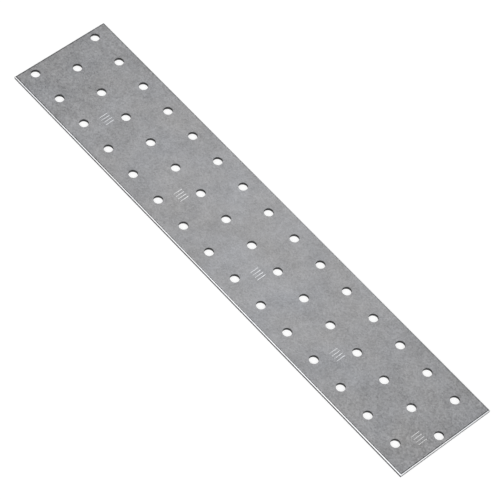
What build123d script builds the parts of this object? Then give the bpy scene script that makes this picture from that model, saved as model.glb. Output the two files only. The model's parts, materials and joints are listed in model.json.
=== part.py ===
from build123d import *
from math import floor
import os

# A mending plate, also called a nail plate: a flat strip of galvanised steel, sheared to length and punched
# with staggered columns of nail holes. It lies across a joint in timber and is nailed down on both sides.
#
# The origin is the centre of the back face, on which the plate lies. +X runs along the plate, +Y across it,
# and +Z out of the front face, the side that the punches and the shear blades entered. Sizes are in mm.

# The sheet
length = 300.0
width = 60.0
thickness = 2.0

# The holes
hole_diameter = 5.0
pitch = 20.0  # from one hole to the next along a column
columns = 3
side_steel = 7.5  # steel left between a long edge and the nearest holes
end_steel = 2.5  # steel left between an end of the plate and the nearest hole

# The section of a cut edge. From the front face down, the sheet first bends over the tool, then is cut
# clean, and then tears the rest of the way, which leaves a wall that leans back by the gap in the tools.
# These four values are estimates, and the sides are given more torn wall than the holes.
rollover = 0.4  # radius left where the shear blade enters
sheared_tear = 0.55  # share of the thickness that tears along the sides
punched_tear = 0.35  # share of the thickness that tears in the holes
tool_gap = 0.15  # between punch and die, and between the shear blades

hole_radius = hole_diameter / 2


def sheared_blank():
    """The sheet with its four cut edges: rolled at the front, clean below that, and torn next to the back."""
    sheet = extrude(Rectangle(length, width), thickness)
    back = sheet.faces().sort_by(Axis.Z)[0]
    sheet = chamfer(back.edges(), tool_gap, sheared_tear * thickness, reference=back)
    front = sheet.faces().sort_by(Axis.Z)[-1]
    return fillet(front.edges(), rollover)


def punched_out():
    """What one stroke of the punch removes: a cylinder where it cuts clean, and a cone where the steel tears.

    The slight bend at the front edge of a hole is left out, to keep the number of facets down.
    """
    torn_depth = punched_tear * thickness
    clean_cut = Pos(0, 0, torn_depth) * extrude(Circle(hole_radius), thickness - torn_depth)
    torn_out = Pos(0, 0, torn_depth / 2) * Cone(hole_radius + tool_gap, hole_radius, torn_depth)
    return clean_cut + torn_out


def hole_places():
    """The centre of every hole. Every other column starts half a pitch further from the end."""
    outer_y = width / 2 - side_steel - hole_radius
    column_gap = 2 * outer_y / (columns - 1)
    margin = end_steel + hole_radius
    places = []
    for column in range(columns):
        first = margin + (column % 2) * pitch / 2
        steps = (length - margin - first) / pitch
        whole_steps = floor(steps + 0.001)  # so that rounding never drops a last hole that just fits
        for step in range(whole_steps + 1):
            places.append((first + step * pitch - length / 2, column * column_gap - outer_y))
    return places


plate = sheared_blank() - [Pos(x, y) * punched_out() for x, y in hole_places()]

os.makedirs("parts", exist_ok=True)
export_step(plate, "parts/plate.step")
print("plate:", len(hole_places()), "holes, volume", round(plate.volume), "mm3")
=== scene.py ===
# %% [markdown]
# # A mending plate in galvanised steel
#
# A mending plate is a strip of zinc-coated sheet steel with rows of nail holes. It is laid across a joint in
# timber and nailed down on both sides. This lesson dresses one: a lit table and a camera, then the finishes,
# then the plate itself as one Geometry Nodes tree, because all of it follows a rule.
#
# The construction model is loaded first and stays fixed. It gives the plate's size and the places of its
# holes, so those need no fitting here. The colours, the lights and the width of the bends were found by
# trial.

# %% Load the frame
import json
import math

import bpy
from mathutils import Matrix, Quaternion, Vector


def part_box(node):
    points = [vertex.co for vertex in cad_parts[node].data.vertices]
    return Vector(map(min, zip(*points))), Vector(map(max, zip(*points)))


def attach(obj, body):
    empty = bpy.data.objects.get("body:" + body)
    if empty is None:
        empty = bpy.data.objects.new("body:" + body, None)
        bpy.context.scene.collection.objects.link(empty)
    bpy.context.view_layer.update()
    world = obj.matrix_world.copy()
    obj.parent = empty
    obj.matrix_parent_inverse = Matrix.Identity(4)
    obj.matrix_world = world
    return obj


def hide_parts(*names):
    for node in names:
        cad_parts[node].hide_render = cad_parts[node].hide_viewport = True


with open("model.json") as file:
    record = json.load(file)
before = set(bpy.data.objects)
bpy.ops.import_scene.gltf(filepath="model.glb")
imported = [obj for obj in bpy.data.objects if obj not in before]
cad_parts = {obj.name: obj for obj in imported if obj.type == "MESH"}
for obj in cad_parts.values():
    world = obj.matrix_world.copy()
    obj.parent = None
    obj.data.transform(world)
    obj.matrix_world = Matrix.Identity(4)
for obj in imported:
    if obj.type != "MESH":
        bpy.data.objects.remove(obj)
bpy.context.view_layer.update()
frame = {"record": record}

MM = 0.001
low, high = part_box("plate")
LENGTH, WIDTH, THICKNESS = high - low
print(f"plate: {LENGTH / MM:.1f} x {WIDTH / MM:.1f} x {THICKNESS / MM:.1f} mm")

# %% [markdown]
# ## Where the holes are
#
# The record of the plate states its nail holes as patterns: the longest pattern of the two edge rows, the
# longest of the middle row, and one pair of neighbours, which gives the pitch. Reading them keeps the dressed
# plate in step with the solid one.

# %% Read the hole pattern
mounts = {mount["name"]: mount for mount in frame["record"]["mounts"]}
edge_rows = mounts["edge_holes_280"]
middle_row = mounts["middle_holes_280"]
neighbours = mounts["middle_holes_20"]

HOLE_RADIUS = edge_rows["dims"]["hole_r_mm"] * MM
PITCH = neighbours["dims"]["spacing_x_mm"] * MM
ROW_RUN = edge_rows["dims"]["spacing_x_mm"] * MM
EDGE_ROW_Y = edge_rows["dims"]["spacing_y_mm"] * MM / 2
EDGE_ROW_START = edge_rows["pos_m"][0] - ROW_RUN / 2
MIDDLE_ROW_START = middle_row["pos_m"][0] - ROW_RUN / 2
HOLES_IN_ROW = round(ROW_RUN / PITCH) + 1
print(f"rows of {HOLES_IN_ROW} holes, {2 * HOLE_RADIUS / MM:.1f} mm wide and {PITCH / MM:.1f} mm apart")

# %% [markdown]
# ## Camera
#
# The plate is seen from above its near corner, through a long lens, so its long sides run almost parallel.
# A camera is easiest to reason about as a point on a sphere round its subject: how far round, how high, how
# far away, and how much it is rolled about its own line of sight.

# %% Set up the camera
AIM = Vector((6.7, -2.75, THICKNESS / MM)) * MM
AZIMUTH, ELEVATION, ROLL = (math.radians(angle) for angle in (40.96, 55.75, 9.88))
DISTANCE = 1.4576

away = Vector((math.sin(AZIMUTH) * math.cos(ELEVATION), -math.cos(AZIMUTH) * math.cos(ELEVATION),
               math.sin(ELEVATION)))
camera_data = bpy.data.cameras.new("camera")
camera_data.lens = 208.16
camera_data.clip_start, camera_data.clip_end = 0.05, 50.0
camera = bpy.data.objects.new("camera", camera_data)
camera.rotation_mode = "QUATERNION"
camera.location = AIM + DISTANCE * away
camera.rotation_quaternion = (-away).to_track_quat("-Z", "Y") @ Quaternion((0, 0, 1), ROLL)
bpy.context.scene.collection.objects.link(camera)
bpy.context.scene.camera = camera
bpy.context.scene.view_settings.view_transform = "Standard"
print("camera at", [round(value, 3) for value in camera.location])

# %% [markdown]
# ## Table and light
#
# Bare metal shows what is around it, so most of its look is the room. Here the room is a light tent over a
# glowing table, which stays white even inside the holes. The sky is dim overhead, with one bright panel high
# on the camera's side. The flat face mirrors neither of them: it has a small softbox of its own, whose light
# fades towards both ends. A bent edge turns through all these directions in less than a millimetre, so it
# shows first a dark line and then a bright one, and a painted highlight in the bend's colour adds to the
# bright one.

# %% Helpers for node trees
def add_node(tree, kind, settings=None, **inputs):
    """Adds a node. settings are its own properties, and inputs are values or sockets, by socket name."""
    node = tree.nodes.new(kind)
    for name, value in (settings or {}).items():
        setattr(node, name, value)
    for name, value in inputs.items():
        feed(tree, node, name.replace("_", " "), value)
    return node


def feed(tree, node, key, value):
    """Links a socket into the node's input, or sets the input to a plain value. key is a name or a number."""
    socket = node.inputs[key] if isinstance(key, int) else input_called(node, key)
    if isinstance(value, bpy.types.NodeSocket):
        tree.links.new(value, socket)
    else:
        socket.default_value = value


def input_called(node, name):
    """The node's first usable input with that name, whatever the case of its letters."""
    for socket in node.inputs:
        if socket.enabled and socket.name.lower() == name.lower():
            return socket
    raise KeyError(f"{node.name} has no input named {name}")


def math_of(tree, operation, *values):
    """One step of arithmetic in a node tree, as a socket."""
    node = tree.nodes.new("ShaderNodeMath")
    node.operation = operation
    for place, value in enumerate(values):
        feed(tree, node, place, value)
    return node.outputs[0]


# %% Make the table and the light
def link_stage(thing):
    """Puts a stage object in the scene."""
    bpy.context.scene.collection.objects.link(thing)


def white_table(side, drop, glow):
    """A wide square table just under the plate. Most of its white is its own glow, so shadows hardly show."""
    mesh = bpy.data.meshes.new("table")
    half = side / 2
    corners = [(-half, -half, drop), (half, -half, drop), (half, half, drop), (-half, half, drop)]
    mesh.from_pydata(corners, [], [(0, 1, 2, 3)])
    material = bpy.data.materials.new("table_white")
    material.use_nodes = True
    shader = material.node_tree.nodes["Principled BSDF"]
    shader.inputs["Base Color"].default_value = (0.3, 0.3, 0.3, 1)
    shader.inputs["Roughness"].default_value = 0.9
    shader.inputs["Specular IOR Level"].default_value = 0.1
    shader.inputs["Emission Color"].default_value = (1, 1, 1, 1)
    shader.inputs["Emission Strength"].default_value = glow
    mesh.materials.append(material)
    link_stage(bpy.data.objects.new("table", mesh))


def faded(tree, value, start, end, first=0.0, last=1.0):
    """A soft step: first up to start, last beyond end, and a smooth passage between them."""
    node = add_node(tree, "ShaderNodeMapRange", {"interpolation_type": "SMOOTHSTEP"}, Value=value,
                    From_Min=start, From_Max=end, To_Min=first, To_Max=last)
    return node.outputs["Result"]


DIMMING_HEIGHTS = (0.4, 0.88)  # parts of a direction, from 0 at the horizon to 1 overhead
PANEL_FOOT = (0.25, 0.5)
PANEL_SIDE = (-0.22, 0.08)  # how far a direction points to the camera's side
LEFT_FADE = (-0.45, -0.75)  # how far it points along X


def tent_sky(zenith, horizon, near, left):
    """A sky that is dim overhead, has a bright panel on the camera's side, and is dimmed towards -X."""
    world = bpy.data.worlds.new("tent")
    world.use_nodes = True
    tree = world.node_tree
    tree.nodes.clear()
    direction = add_node(tree, "ShaderNodeTexCoord").outputs["Generated"]
    parts = add_node(tree, "ShaderNodeSeparateXYZ", Vector=direction).outputs
    towards = add_node(tree, "ShaderNodeVectorMath", {"operation": "DOT_PRODUCT"})
    feed(tree, towards, 0, direction)
    feed(tree, towards, 1, Vector((away.x, away.y, 0.0)).normalized())
    overhead = faded(tree, parts["Z"], *DIMMING_HEIGHTS, horizon, zenith)
    panel = math_of(tree, "MULTIPLY", faded(tree, towards.outputs["Value"], *PANEL_SIDE, 0.0, near),
                    faded(tree, parts["Z"], *PANEL_FOOT))
    strength = math_of(tree, "MULTIPLY", math_of(tree, "MAXIMUM", overhead, panel),
                       faded(tree, parts["X"], *LEFT_FADE, 1.0, left))
    background = add_node(tree, "ShaderNodeBackground", Color=(0.985, 0.99, 1.0, 1), Strength=strength)
    output = tree.nodes.new("ShaderNodeOutputWorld")
    tree.links.new(background.outputs[0], output.inputs["Surface"])
    bpy.context.scene.world = world


def softbox(name, place, size, power):
    """A square area light that faces the plate."""
    light = bpy.data.lights.new(name, "AREA")
    light.size = size
    light.energy = power
    lamp = bpy.data.objects.new(name, light)
    lamp.location = place
    lamp.rotation_mode = "QUATERNION"
    lamp.rotation_quaternion = (-Vector(place)).to_track_quat("-Z", "Y")
    bpy.context.scene.collection.objects.link(lamp)


MIRRORED = Vector((-away.x, -away.y, away.z))
BOX_DISTANCE = 1.5
BOX_OFFSET = Vector((0.02, 0.0, 0.0))
white_table(side=12.0, drop=-0.1 * MM, glow=0.74)
tent_sky(zenith=0.12, horizon=0.5, near=2.0, left=0.5)
softbox("mirrored_softbox", BOX_DISTANCE * MIRRORED + BOX_OFFSET, size=0.5, power=2.28)
print("table, sky and one softbox")

# %% [markdown]
# ## Zinc
#
# This zinc has no large crystals. It is a mid-grey skin of fine frosty grains, with faint clouds. The
# variation is about as strong at a millimetre as at a centimetre, so a noise with many octaves of equal
# weight gives the clouds, and a ragged cell pattern gives the grains. A slow noise tints the zinc a little
# warm or cool. All of it is one group, so that the other finishes can use it.

# %% Build the zinc group
def shader_group(name, inputs, outputs):
    """An empty shader group. An input is (name, kind, default), and an output is (name, kind)."""
    group = bpy.data.node_groups.new(name, "ShaderNodeTree")
    for socket_name, kind, default in inputs:
        socket = group.interface.new_socket(socket_name, in_out="INPUT", socket_type=kind)
        socket.default_value = default
    for socket_name, kind in outputs:
        group.interface.new_socket(socket_name, in_out="OUTPUT", socket_type=kind)
    return group, group.nodes.new("NodeGroupInput").outputs, group.nodes.new("NodeGroupOutput").inputs


CLOUDS_PER_M = 45.0
GRAINS_PER_M = 1400.0
WANDER_PER_M = 1800.0  # how closely the outline of a grain wanders
WANDER = 0.0006
FILM_PER_M = 35.0
CLOUD_SHARE = 0.37
GRAIN_SHARE = 0.11
ROUGHNESS_SHARE = 0.12
GRAIN_HEIGHT = 0.3
WARM = (1.03, 1.0, 0.955, 1)
COOL = (0.97, 1.0, 1.045, 1)


def zinc_group():
    """Clouds, grains and a faint tint of zinc. Contrast scales the clouds and the grains."""
    group, given, made = shader_group(
        "zinc",
        [("Vector", "NodeSocketVector", (0, 0, 0)), ("Color", "NodeSocketColor", (0.5, 0.5, 0.5, 1)),
         ("Contrast", "NodeSocketFloat", 1.0), ("Roughness", "NodeSocketFloat", 0.5)],
        [("Color", "NodeSocketColor"), ("Roughness", "NodeSocketFloat"), ("Height", "NodeSocketFloat")])
    links = group.links
    clouds = add_node(group, "ShaderNodeTexNoise", {"noise_dimensions": "3D"}, Vector=given["Vector"],
                      Scale=CLOUDS_PER_M, Detail=8.0, Roughness=1.0, Lacunarity=2.0)
    wander = add_node(group, "ShaderNodeTexNoise", Vector=given["Vector"], Scale=WANDER_PER_M,
                      Detail=2.0)
    ragged = add_node(group, "ShaderNodeVectorMath", {"operation": "MULTIPLY_ADD"})
    links.new(wander.outputs["Color"], ragged.inputs[0])
    ragged.inputs[1].default_value = (WANDER, WANDER, WANDER)
    links.new(given["Vector"], ragged.inputs[2])
    grains = add_node(group, "ShaderNodeTexVoronoi", {"feature": "F1"}, Vector=ragged.outputs[0],
                      Scale=GRAINS_PER_M, Randomness=1.0)
    grain = add_node(group, "ShaderNodeSeparateColor", Color=grains.outputs["Color"])
    cloud_part = math_of(group, "SUBTRACT", clouds.outputs["Fac"], 0.5)
    grain_part = math_of(group, "SUBTRACT", grain.outputs["Red"], 0.5)
    both = math_of(group, "ADD", math_of(group, "MULTIPLY", cloud_part, CLOUD_SHARE),
                   math_of(group, "MULTIPLY", grain_part, GRAIN_SHARE))
    shade = math_of(group, "ADD", math_of(group, "MULTIPLY", both, given["Contrast"]), 1.0)
    film = add_node(group, "ShaderNodeTexNoise", Vector=given["Vector"], Scale=FILM_PER_M, Detail=3.0)
    tint = add_node(group, "ShaderNodeMix", {"data_type": "RGBA"}, Factor=film.outputs["Fac"],
                    A=WARM, B=COOL)
    tinted = add_node(group, "ShaderNodeVectorMath", {"operation": "MULTIPLY"})
    links.new(given["Color"], tinted.inputs[0])
    links.new(tint.outputs["Result"], tinted.inputs[1])
    clouded = add_node(group, "ShaderNodeVectorMath", {"operation": "SCALE"}, Scale=shade)
    links.new(tinted.outputs[0], clouded.inputs[0])
    links.new(clouded.outputs[0], made["Color"])
    uneven = math_of(group, "MULTIPLY", math_of(group, "ADD", cloud_part, grain_part), ROUGHNESS_SHARE)
    links.new(math_of(group, "ADD", given["Roughness"], uneven), made["Roughness"])
    raised = math_of(group, "MULTIPLY", grain_part, GRAIN_HEIGHT)
    links.new(math_of(group, "ADD", clouds.outputs["Fac"], raised), made["Height"])
    return group


ZINC = zinc_group()
print("zinc group with", len(ZINC.nodes), "nodes")

# %% [markdown]
# ## Cut steel
#
# The coating is taken to go on before the sheet is cut, so every cut edge is bare steel. A blade leaves a
# finely scored band where it slid past, and below that a duller, coarse band where the steel tore. The score
# marks run down the edge, so they are a noise that is stretched in that direction.

# %% Build the score-mark group
UPRIGHT_STRETCH = 0.08  # a mark is about twelve times as long as it is wide


def score_group():
    """Fine upright score marks, as a shade round 1 and as a height."""
    group, given, made = shader_group(
        "score_marks",
        [("Vector", "NodeSocketVector", (0, 0, 0)), ("Marks per mm", "NodeSocketFloat", 6.0),
         ("Depth", "NodeSocketFloat", 0.3)],
        [("Shade", "NodeSocketFloat"), ("Height", "NodeSocketFloat")])
    links = group.links
    parts = add_node(group, "ShaderNodeSeparateXYZ", Vector=given["Vector"])
    stretched = add_node(group, "ShaderNodeCombineXYZ", X=parts.outputs["X"], Y=parts.outputs["Y"],
                         Z=math_of(group, "MULTIPLY", parts.outputs["Z"], UPRIGHT_STRETCH))
    scale = math_of(group, "MULTIPLY", given["Marks per mm"], 1.0 / MM)
    marks = add_node(group, "ShaderNodeTexNoise", Vector=stretched.outputs[0], Scale=scale, Detail=3.0,
                     Roughness=0.7)
    centred = math_of(group, "SUBTRACT", marks.outputs["Fac"], 0.5)
    links.new(math_of(group, "ADD", math_of(group, "MULTIPLY", centred, given["Depth"]), 1.0), made["Shade"])
    links.new(marks.outputs["Fac"], made["Height"])
    return group


SCORES = score_group()
print("score-mark group with", len(SCORES.nodes), "nodes")

# %% [markdown]
# ## The finishes
#
# Seven finishes share the two groups. The face is zinc. The bend beside each cut is zinc too, with a painted
# highlight that grows brighter the further it turns down. The rim of a hole is zinc darkened as painted
# shade, and a stamped stroke is brighter. The sheared band, the torn band and the wall of a hole are bare
# steel, painted much darker than clean steel as painted shade: walls this thin would otherwise vanish against
# the white table. These shades are chosen for the look, not measured.

# %% Make the finishes
def plain_material(name, metallic, roughness):
    """A material with one Principled shader, and its object coordinates ready to use."""
    material = bpy.data.materials.new(name)
    material.use_nodes = True
    tree = material.node_tree
    shader = tree.nodes["Principled BSDF"]
    shader.inputs["Metallic"].default_value = metallic
    shader.inputs["Roughness"].default_value = roughness
    place = add_node(tree, "ShaderNodeTexCoord").outputs["Object"]
    return material, tree, shader, place


def bump_into(tree, shader, height, strength, distance):
    """Roughens the surface's shading by a height."""
    bump = add_node(tree, "ShaderNodeBump", Height=height, Strength=strength, Distance=distance)
    tree.links.new(bump.outputs["Normal"], shader.inputs["Normal"])


def group_node(tree, group, **inputs):
    """Places a shader group in a material."""
    return add_node(tree, "ShaderNodeGroup", {"node_tree": group}, **inputs)


def zinc_material(name, color, roughness, contrast, relief, highlight_color=None):
    """A zinc-coated surface of one base colour, or with a painted highlight of a lighter colour where it
    bends down.
    """
    material, tree, shader, place = plain_material(name, 1.0, roughness)
    zinc = group_node(tree, ZINC, Vector=place, Color=(*color, 1), Contrast=contrast, Roughness=roughness)
    if highlight_color:
        height = add_node(tree, "ShaderNodeSeparateXYZ", Vector=place).outputs["Z"]
        painted_highlight = faded(tree, height, THICKNESS - HIGHLIGHT_START, THICKNESS - HIGHLIGHT_END)
        highlighted = add_node(tree, "ShaderNodeMix", {"data_type": "RGBA"}, Factor=painted_highlight, A=(*color, 1),
                        B=(*highlight_color, 1)).outputs["Result"]
        feed(tree, zinc, "Color", highlighted)
    tree.links.new(zinc.outputs["Color"], shader.inputs["Base Color"])
    tree.links.new(zinc.outputs["Roughness"], shader.inputs["Roughness"])
    bump_into(tree, shader, zinc.outputs["Height"], relief, GRAIN_RELIEF)
    return material


def cut_material(name, color, metallic, roughness, marks_per_mm, depth, relief):
    """Bare steel with upright score marks, which shines little."""
    material, tree, shader, place = plain_material(name, metallic, roughness)
    shader.inputs["Specular IOR Level"].default_value = 0.2
    scores = group_node(tree, SCORES, Vector=place, Marks_per_mm=marks_per_mm, Depth=depth)
    shaded = add_node(tree, "ShaderNodeVectorMath", {"operation": "SCALE"}, Scale=scores.outputs["Shade"])
    shaded.inputs[0].default_value = color
    tree.links.new(shaded.outputs[0], shader.inputs["Base Color"])
    bump_into(tree, shader, scores.outputs["Height"], relief, SCORE_RELIEF)
    return material


GRAIN_RELIEF = 0.03 * MM
SCORE_RELIEF = 0.02 * MM
HIGHLIGHT_START = 0.02 * MM  # how far below the face the painted highlight on the bend begins
HIGHLIGHT_END = 0.1 * MM
ZINC_FACE = zinc_material("zinc_face", (0.355, 0.356, 0.364), 0.44, 4.6, 0.3)
# The bend's colour turns lighter as it turns down: a painted highlight for the light its rounded edge
# catches.
ZINC_BEND = zinc_material("zinc_bend", (0.3, 0.302, 0.31), 0.22, 1.4, 0.3, highlight_color=(0.68, 0.682, 0.69))
# Sheared and torn steel get near-black colours as painted shade on the cut walls; clean bare steel is far
# lighter.
SHEARED_STEEL = cut_material("sheared_steel", (0.06, 0.06, 0.062), 0.4, 0.4, 5.0, 0.25, 0.3)
TORN_STEEL = cut_material("torn_steel", (0.05, 0.05, 0.052), 0.3, 0.7, 3.0, 0.7, 0.8)
# The hole rim's darker zinc is painted shade where the face rolls down into the hole.
HOLE_RIM = zinc_material("hole_rim", (0.2, 0.2, 0.205), 0.5, 1.4, 0.3)
# The hole wall is near black as painted shade inside the hole.
HOLE_WALL = cut_material("hole_wall", (0.035, 0.035, 0.036), 0.0, 0.75, 4.0, 0.5, 0.3)
COINED_ZINC = zinc_material("coined_zinc", (0.53, 0.533, 0.542), 0.35, 0.6, 0.15)
print("finishes:", ", ".join(material.name for material in bpy.data.materials))

# %% [markdown]
# ## The wall of a cut
#
# The whole plate is flat apart from its cut edges, so those are made first and the flat faces are stretched
# between them afterwards. A cut edge is three bands, one below the other: the bend, the sheared band and the
# torn band. A band is a grid of faces whose corners are moved by a formula. Round a hole the grid is wrapped
# into a ring, and along a side it stays straight, with its ends mitred to meet the next side.

# %% Helpers for geometry trees
def geometry_tree(name, inputs):
    """An empty geometry tree with named inputs, each (name, kind), and one geometry output."""
    tree = bpy.data.node_groups.new(name, "GeometryNodeTree")
    for socket_name, kind in inputs:
        tree.interface.new_socket(socket_name, in_out="INPUT", socket_type="NodeSocket" + kind)
    tree.interface.new_socket("Geometry", in_out="OUTPUT", socket_type="NodeSocketGeometry")
    given = tree.nodes.new("NodeGroupInput").outputs
    return tree, given, tree.nodes.new("NodeGroupOutput").inputs["Geometry"]


def blend_of(tree, first, last, share):
    """The value a share of the way from first to last."""
    return add_node(tree, "ShaderNodeMix", {"data_type": "FLOAT"}, Factor=share, A=first, B=last).outputs[0]


def joined(tree, *parts):
    """Several geometries as one."""
    join = tree.nodes.new("GeometryNodeJoinGeometry")
    for part in parts:
        tree.links.new(part, join.inputs[0])
    return join.outputs[0]


def grid_band(tree, given):
    """A unit grid, its share round or along the cut, and its shares across and down a band.

    On a rolled band those last two follow a quarter circle, which leaves the flat face without a crease.
    """
    grid = add_node(tree, "GeometryNodeMeshGrid", Vertices_X=math_of(tree, "ADD", given["Segments"], 1),
                    Vertices_Y=math_of(tree, "ADD", given["Steps"], 1))
    share = add_node(tree, "ShaderNodeSeparateXYZ", Vector=grid.outputs["UV Map"])
    turn = math_of(tree, "MULTIPLY", share.outputs["Y"], math.pi / 2)
    rolled_across = math_of(tree, "SINE", turn)
    rolled_down = math_of(tree, "SUBTRACT", 1.0, math_of(tree, "COSINE", turn))
    across = blend_of(tree, share.outputs["Y"], rolled_across, given["Rolled"])
    down = blend_of(tree, share.outputs["Y"], rolled_down, given["Rolled"])
    return grid.outputs["Mesh"], share.outputs["X"], across, down


def placed(tree, mesh, x, y, z):
    """The mesh with its corners moved to x, y and z."""
    place = add_node(tree, "ShaderNodeCombineXYZ", X=x, Y=y, Z=z).outputs[0]
    return add_node(tree, "GeometryNodeSetPosition", Geometry=mesh, Position=place).outputs[0]


BAND_INPUTS = [("Segments", "Int"), ("Steps", "Int"), ("Height A", "Float"), ("Height B", "Float"),
               ("Rolled", "Float")]


# %% Build the ring band and the side band
def ring_band_tree():
    """A band round a hole, from radius A at height A to radius B at height B. Stretch makes it a slot."""
    tree, given, out = geometry_tree("ring_band", BAND_INPUTS + [
        ("Radius A", "Float"), ("Radius B", "Float"), ("Stretch", "Float")])
    mesh, round_share, across, down = grid_band(tree, given)
    radius = blend_of(tree, given["Radius A"], given["Radius B"], across)
    angle = math_of(tree, "MULTIPLY", round_share, 2 * math.pi)
    sine = math_of(tree, "SINE", angle)
    not_below = math_of(tree, "MAXIMUM", math_of(tree, "MULTIPLY", sine, 100), -1)
    upper_or_lower = math_of(tree, "MINIMUM", not_below, 1)
    x = math_of(tree, "MULTIPLY", radius, math_of(tree, "COSINE", angle))
    y = math_of(tree, "ADD", math_of(tree, "MULTIPLY", radius, sine),
                math_of(tree, "MULTIPLY", given["Stretch"], upper_or_lower))
    z = blend_of(tree, given["Height A"], given["Height B"], down)
    tree.links.new(placed(tree, mesh, x, y, z), out)
    return tree


def side_band_tree():
    """A band along a straight side that faces -Y, from inset A at height A to inset B at height B."""
    tree, given, out = geometry_tree("side_band", BAND_INPUTS + [
        ("Half Length", "Float"), ("Distance", "Float"), ("Inset A", "Float"), ("Inset B", "Float")])
    mesh, along_share, across, down = grid_band(tree, given)
    inset = blend_of(tree, given["Inset A"], given["Inset B"], across)
    half = math_of(tree, "SUBTRACT", given["Half Length"], inset)
    x = math_of(tree, "MULTIPLY", half, math_of(tree, "MULTIPLY_ADD", along_share, -2, 1))
    y = math_of(tree, "SUBTRACT", inset, given["Distance"])
    z = blend_of(tree, given["Height A"], given["Height B"], down)
    tree.links.new(placed(tree, mesh, x, y, z), out)
    return tree


RING_BAND = ring_band_tree()
SIDE_BAND = side_band_tree()
print("two kinds of band")


# %% [markdown]
# ## Three bands make a wall
#
# The same three bands go round a hole and along a side, with only the radii or the insets to change. The
# torn band leans into the steel by the gap in the tools.

# %% Build the walls
def placed_group(tree, group, given, material, **inputs):
    """A geometry group in the tree, with its material set."""
    band = add_node(tree, "GeometryNodeGroup", {"node_tree": group}, **inputs)
    finished = add_node(tree, "GeometryNodeSetMaterial", Geometry=band.outputs[0], Material=given[material])
    return finished.outputs[0]


WALL_INPUTS = [("Segments", "Int"), ("Thickness", "Float"), ("Bend Width", "Float"), ("Bend Depth", "Float"),
               ("Torn Depth", "Float"), ("Tool Gap", "Float"), ("Bend", "Material"), ("Sheared", "Material"),
               ("Torn", "Material")]


def hole_wall_tree():
    """The wall of one punched hole, centred on the origin."""
    tree, given, out = geometry_tree("hole_wall", WALL_INPUTS + [("Radius", "Float")])
    bend_end = math_of(tree, "SUBTRACT", given["Thickness"], given["Bend Depth"])
    bend = placed_group(tree, RING_BAND, given, "Bend", Segments=given["Segments"], Steps=4, Rolled=1.0,
                        Radius_A=math_of(tree, "ADD", given["Radius"], given["Bend Width"]),
                        Radius_B=given["Radius"], Height_A=given["Thickness"], Height_B=bend_end)
    sheared = placed_group(tree, RING_BAND, given, "Sheared", Segments=given["Segments"], Steps=1,
                           Radius_A=given["Radius"], Radius_B=given["Radius"], Height_A=bend_end,
                           Height_B=given["Torn Depth"])
    torn = placed_group(tree, RING_BAND, given, "Torn", Segments=given["Segments"], Steps=3,
                        Radius_A=given["Radius"], Height_A=given["Torn Depth"], Height_B=0.0,
                        Radius_B=math_of(tree, "ADD", given["Radius"], given["Tool Gap"]))
    tree.links.new(joined(tree, bend, sheared, torn), out)
    return tree


def side_wall_tree():
    """The wall of one sheared side, facing -Y, with mitred ends."""
    tree, given, out = geometry_tree("side_wall", WALL_INPUTS + [
        ("Half Length", "Float"), ("Distance", "Float")])
    bend_end = math_of(tree, "SUBTRACT", given["Thickness"], given["Bend Depth"])
    side = {"Segments": given["Segments"], "Half_Length": given["Half Length"], "Distance": given["Distance"]}
    bend = placed_group(tree, SIDE_BAND, given, "Bend", **side, Steps=8, Rolled=1.0,
                        Inset_A=given["Bend Width"], Height_A=given["Thickness"], Height_B=bend_end)
    sheared = placed_group(tree, SIDE_BAND, given, "Sheared", **side, Steps=2, Height_A=bend_end,
                           Height_B=given["Torn Depth"])
    torn = placed_group(tree, SIDE_BAND, given, "Torn", **side, Steps=4, Inset_B=given["Tool Gap"],
                        Height_A=given["Torn Depth"], Height_B=0.0)
    tree.links.new(joined(tree, bend, sheared, torn), out)
    return tree


HOLE_WALL_TREE = hole_wall_tree()
SIDE_WALL_TREE = side_wall_tree()
print("walls of", len(HOLE_WALL_TREE.nodes), "and", len(SIDE_WALL_TREE.nodes), "nodes")

# %% [markdown]
# ## The plate
#
# One tree makes the plate. Three lines of points carry the hole walls, four turned copies of a side wall make
# the outline, and short stamped strokes sit between the rows. Wherever an open rim is left at the height of a
# face, the rims become curves and Fill Curve stretches the sheet between them, with every hole left open.
# Merging the doubled rim points then closes the shell.

# %% Build the plate tree
PLATE_INPUTS = [
    ("Length", "Float"), ("Width", "Float"), ("Thickness", "Float"), ("Bend Width", "Float"),
    ("Bend Depth", "Float"), ("Torn Depth", "Float"), ("Tool Gap", "Float"), ("Hole Radius", "Float"),
    ("Hole Bend", "Float"), ("Hole Torn Depth", "Float"),
    ("Pitch", "Float"), ("Holes in Row", "Int"), ("Edge Row Y", "Float"), ("Edge Row Start", "Float"),
    ("Middle Row Start", "Float"), ("Mark Start", "Float"), ("Mark Y", "Float"), ("Mark Pitch", "Float"),
    ("Marks", "Int"), ("Stroke Pitch", "Float"), ("Strokes", "Int"), ("Stroke Length", "Float"),
    ("Stroke Width", "Float"), ("Stroke Depth", "Float"), ("Seed", "Float"),
    ("Face", "Material"), ("Bend", "Material"), ("Sheared", "Material"), ("Torn", "Material"),
    ("Hole Rim", "Material"), ("Hole Wall", "Material"), ("Mark", "Material")]
TINY = 0.002 * MM


def line_of_points(tree, count, start, step):
    """A row of points along X. start is (x, y)."""
    first = add_node(tree, "ShaderNodeCombineXYZ", X=start[0], Y=start[1]).outputs[0]
    offset = add_node(tree, "ShaderNodeCombineXYZ", X=step).outputs[0]
    return add_node(tree, "GeometryNodeMeshLine", {"mode": "OFFSET"}, Count=count, Start_Location=first,
                    Offset=offset).outputs[0]


def copies_on(tree, points, thing):
    """A copy of thing on every point, as real geometry."""
    instances = add_node(tree, "GeometryNodeInstanceOnPoints", Points=points, Instance=thing).outputs[0]
    return add_node(tree, "GeometryNodeRealizeInstances", Geometry=instances).outputs[0]


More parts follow.
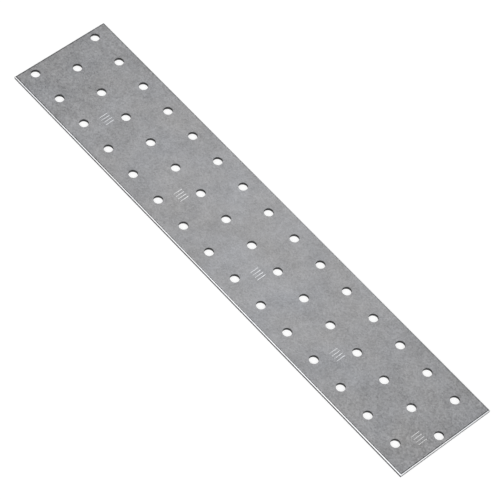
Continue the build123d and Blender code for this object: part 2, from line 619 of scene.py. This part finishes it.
def all_holes(tree, given):
    """The walls of every nail hole, in two edge rows and a middle row."""
    wall = add_node(tree, "GeometryNodeGroup", {"node_tree": HOLE_WALL_TREE}, Segments=HOLE_SEGMENTS,
                    Thickness=given["Thickness"], Bend_Width=given["Hole Bend"],
                    Bend_Depth=given["Hole Bend"], Torn_Depth=given["Hole Torn Depth"],
                    Tool_Gap=given["Tool Gap"], Radius=given["Hole Radius"], Bend=given["Hole Rim"],
                    Sheared=given["Hole Wall"], Torn=given["Hole Wall"]).outputs[0]
    lower_y = math_of(tree, "MULTIPLY", given["Edge Row Y"], -1)
    starts = [(given["Edge Row Start"], lower_y), (given["Middle Row Start"], 0.0),
              (given["Edge Row Start"], given["Edge Row Y"])]
    rows = [line_of_points(tree, given["Holes in Row"], start, given["Pitch"]) for start in starts]
    return copies_on(tree, joined(tree, *rows), wall)


def all_sides(tree, given):
    """The walls of the four sides. The second pair is the first turned by half a turn."""
    half_length = math_of(tree, "MULTIPLY", given["Length"], 0.5)
    half_width = math_of(tree, "MULTIPLY", given["Width"], 0.5)
    sides = []
    for half, distance, segments, quarter in ((half_length, half_width, LONG_SEGMENTS, 0),
                                              (half_width, half_length, SHORT_SEGMENTS, 1)):
        wall = add_node(tree, "GeometryNodeGroup", {"node_tree": SIDE_WALL_TREE}, Segments=segments,
                        Thickness=given["Thickness"], Bend_Width=given["Bend Width"],
                        Bend_Depth=given["Bend Depth"], Torn_Depth=given["Torn Depth"],
                        Tool_Gap=given["Tool Gap"], Half_Length=half, Distance=distance,
                        Bend=given["Bend"], Sheared=given["Sheared"], Torn=given["Torn"]).outputs[0]
        for turn in (quarter, quarter + 2):
            sides.append(add_node(tree, "GeometryNodeTransform", Geometry=wall,
                                  Rotation=(0.0, 0.0, turn * math.pi / 2)).outputs[0])
    return joined(tree, *sides)


def all_marks(tree, given):
    """The sloping walls of the stamped strokes, whose floors are filled in later."""
    top = math_of(tree, "MULTIPLY", given["Stroke Width"], 0.5)
    floor = math_of(tree, "MULTIPLY", given["Stroke Width"], 0.25)
    straight = math_of(tree, "SUBTRACT", math_of(tree, "MULTIPLY", given["Stroke Length"], 0.5), top)
    stroke = placed_group(tree, RING_BAND, given, "Mark", Segments=24, Steps=1, Stretch=straight,
                          Radius_A=top, Radius_B=floor, Height_A=given["Thickness"],
                          Height_B=math_of(tree, "SUBTRACT", given["Thickness"], given["Stroke Depth"]))
    gaps = math_of(tree, "SUBTRACT", given["Strokes"], 1)
    first = math_of(tree, "MULTIPLY", math_of(tree, "MULTIPLY", gaps, given["Stroke Pitch"]), -0.5)
    row = line_of_points(tree, given["Strokes"], (first, 0.0), given["Stroke Pitch"])
    mark = copies_on(tree, row, stroke)
    places = line_of_points(tree, given["Marks"], (given["Mark Start"], given["Mark Y"]), given["Mark Pitch"])
    return copies_on(tree, places, mark)


def height_here(tree):
    """The Z of each point, edge or face."""
    position = tree.nodes.new("GeometryNodeInputPosition").outputs[0]
    return add_node(tree, "ShaderNodeSeparateXYZ", Vector=position).outputs["Z"]


def is_near(tree, value, target):
    """Whether a value is within a hair of the target."""
    return math_of(tree, "COMPARE", value, target, TINY)


def filled_rims(tree, walls, height, material, faces_down=False):
    """The flat sheet between all open rims at a height."""
    faces_at_edge = tree.nodes.new("GeometryNodeInputMeshEdgeNeighbors").outputs[0]
    open_edge = math_of(tree, "COMPARE", faces_at_edge, 1, 0.5)
    at_height = is_near(tree, height_here(tree), height)
    rims = add_node(tree, "GeometryNodeMeshToCurve", Mesh=walls,
                    Selection=math_of(tree, "MULTIPLY", open_edge, at_height)).outputs[0]
    sheet = add_node(tree, "GeometryNodeFillCurve", Curve=rims).outputs[0]
    if faces_down:
        sheet = add_node(tree, "GeometryNodeFlipFaces", Mesh=sheet).outputs[0]
    up = add_node(tree, "ShaderNodeCombineXYZ", Z=height).outputs[0]
    raised = add_node(tree, "GeometryNodeTransform", Geometry=sheet, Translation=up).outputs[0]
    return add_node(tree, "GeometryNodeSetMaterial", Geometry=raised, Material=material).outputs[0]


def roughened(tree, walls, given):
    """The walls with a wavering line where the tear begins, and a torn band pitted into the steel."""
    position = tree.nodes.new("GeometryNodeInputPosition").outputs[0]
    ragged = add_node(tree, "ShaderNodeTexNoise", {"noise_dimensions": "4D"}, Vector=position,
                      W=given["Seed"], Scale=0.45 / MM, Detail=3.0).outputs["Fac"]
    height = height_here(tree)
    at_tear = math_of(tree, "MAXIMUM", is_near(tree, height, given["Torn Depth"]),
                      is_near(tree, height, given["Hole Torn Depth"]))
    waver = math_of(tree, "MULTIPLY", math_of(tree, "SUBTRACT", ragged, 0.5), TEAR_WAVER)
    shift = add_node(tree, "ShaderNodeCombineXYZ", Z=waver).outputs[0]
    wavering = add_node(tree, "GeometryNodeSetPosition", Geometry=walls, Selection=at_tear,
                        Offset=shift).outputs[0]
    below = math_of(tree, "LESS_THAN", height, math_of(tree, "SUBTRACT", given["Torn Depth"], TEAR_WAVER))
    above = math_of(tree, "GREATER_THAN", height, TINY)
    pits = add_node(tree, "ShaderNodeTexNoise", {"noise_dimensions": "4D"}, Vector=position, W=given["Seed"],
                    Scale=1.6 / MM, Detail=1.0).outputs["Fac"]
    inwards = add_node(tree, "ShaderNodeVectorMath", {"operation": "SCALE"},
                       Scale=math_of(tree, "MULTIPLY", pits, -PIT_DEPTH))
    feed(tree, inwards, 0, tree.nodes.new("GeometryNodeInputNormal").outputs[0])
    return add_node(tree, "GeometryNodeSetPosition", Geometry=wavering, Offset=inwards.outputs[0],
                    Selection=math_of(tree, "MULTIPLY", below, above)).outputs[0]


def merged(tree, mesh):
    """The mesh with points that lie on each other made one."""
    return add_node(tree, "GeometryNodeMergeByDistance", Geometry=mesh, Distance=TINY / 4).outputs[0]


def shaded(tree, mesh, on_a_face):
    """Flat faces shaded flat, walls shaded smooth, and a crease wherever two bands meet at an angle."""
    smooth = add_node(tree, "GeometryNodeSetShadeSmooth", {"domain": "FACE"}, Geometry=mesh,
                      Shade_Smooth=math_of(tree, "SUBTRACT", 1.0, on_a_face)).outputs[0]
    angle = tree.nodes.new("GeometryNodeInputMeshEdgeAngle").outputs[0]
    gentle = math_of(tree, "LESS_THAN", angle, math.radians(25))
    return add_node(tree, "GeometryNodeSetShadeSmooth", {"domain": "EDGE"}, Geometry=smooth,
                    Shade_Smooth=gentle).outputs[0]


def plate_tree():
    """The whole plate. All flat sheets start as stamped zinc, and the two faces get their own finish last."""
    tree, given, out = geometry_tree("mending_plate", PLATE_INPUTS)
    walls = merged(tree, joined(tree, all_holes(tree, given), all_sides(tree, given), all_marks(tree, given)))
    walls = roughened(tree, walls, given)
    mark_floor = math_of(tree, "SUBTRACT", given["Thickness"], given["Stroke Depth"])
    floors = filled_rims(tree, walls, mark_floor, given["Mark"])
    front = filled_rims(tree, walls, given["Thickness"], given["Mark"])
    back = filled_rims(tree, walls, 0.0, given["Mark"], faces_down=True)
    shell = merged(tree, joined(tree, walls, floors, front, back))
    height = height_here(tree)
    on_a_face = math_of(tree, "MAXIMUM", is_near(tree, height, given["Thickness"]),
                        is_near(tree, height, 0.0))
    real = add_node(tree, "GeometryNodeRealizeInstances", Geometry=shaded(tree, shell, on_a_face)).outputs[0]
    tree.links.new(add_node(tree, "GeometryNodeSetMaterial", Geometry=real, Selection=on_a_face,
                            Material=given["Face"]).outputs[0], out)
    return tree


HOLE_SEGMENTS = 56
LONG_SEGMENTS = 400
SHORT_SEGMENTS = 80
TEAR_WAVER = 0.16 * MM
PIT_DEPTH = 0.05 * MM
PLATE_TREE = plate_tree()
print("plate tree with", len(PLATE_TREE.nodes), "nodes")

# %% [markdown]
# ## Make the plate
#
# The bends along the sides are drawn wider than the solid's, so that their dark and bright lines show. The
# modifier's inputs are set by their identifiers before the object is first evaluated. The result is then read
# back as a plain mesh, so that nothing live is left on the piece.

# %% Evaluate the plate
sizes = {
    "Length": LENGTH, "Width": WIDTH, "Thickness": THICKNESS,
    "Bend Width": 0.9 * MM, "Bend Depth": 0.5 * MM, "Torn Depth": 0.55 * THICKNESS, "Tool Gap": 0.15 * MM,
    "Hole Radius": HOLE_RADIUS, "Hole Bend": 0.08 * MM, "Hole Torn Depth": 0.35 * THICKNESS,
    "Pitch": PITCH, "Holes in Row": HOLES_IN_ROW, "Edge Row Y": EDGE_ROW_Y,
    "Edge Row Start": EDGE_ROW_START, "Middle Row Start": MIDDLE_ROW_START,
    "Mark Start": EDGE_ROW_START + 2.25 * PITCH, "Mark Y": -0.45 * EDGE_ROW_Y, "Mark Pitch": 3 * PITCH,
    "Marks": 5,
    "Stroke Pitch": 1.8 * MM, "Strokes": 4, "Stroke Length": 5.6 * MM, "Stroke Width": 0.5 * MM,
    "Stroke Depth": 0.1 * MM, "Seed": 3.0,
    "Face": ZINC_FACE, "Bend": ZINC_BEND, "Sheared": SHEARED_STEEL, "Torn": TORN_STEEL,
    "Hole Rim": HOLE_RIM, "Hole Wall": HOLE_WALL, "Mark": COINED_ZINC}


def made_by(tree, name, values):
    """A plain mesh object made by a geometry tree with these input values."""
    carrier = bpy.data.objects.new(name + "_carrier", bpy.data.meshes.new(name + "_carrier"))
    bpy.context.scene.collection.objects.link(carrier)
    modifier = carrier.modifiers.new("shape", "NODES")
    modifier.node_group = tree
    for socket in tree.interface.items_tree:
        if socket.in_out == "INPUT":
            modifier[socket.identifier] = values[socket.name]
    evaluated = carrier.evaluated_get(bpy.context.evaluated_depsgraph_get())
    mesh = bpy.data.meshes.new_from_object(evaluated)
    mesh.name = name
    slots = list(enumerate(mesh.materials))
    for index in [index for index, material in reversed(slots) if material is None]:
        mesh.materials.pop(index=index)  # an empty slot that the grid nodes bring along
    bpy.data.objects.remove(carrier)
    piece = bpy.data.objects.new(name, mesh)
    bpy.context.scene.collection.objects.link(piece)
    return piece


plate = made_by(PLATE_TREE, "perforated_plate", sizes)
plate.data.calc_loop_triangles()
print(f"{plate.name}: {len(plate.data.loop_triangles)} triangles, finishes",
      [material.name for material in plate.data.materials])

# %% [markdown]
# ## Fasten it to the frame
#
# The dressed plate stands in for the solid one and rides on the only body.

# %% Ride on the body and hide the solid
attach(plate, "root")
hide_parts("plate")
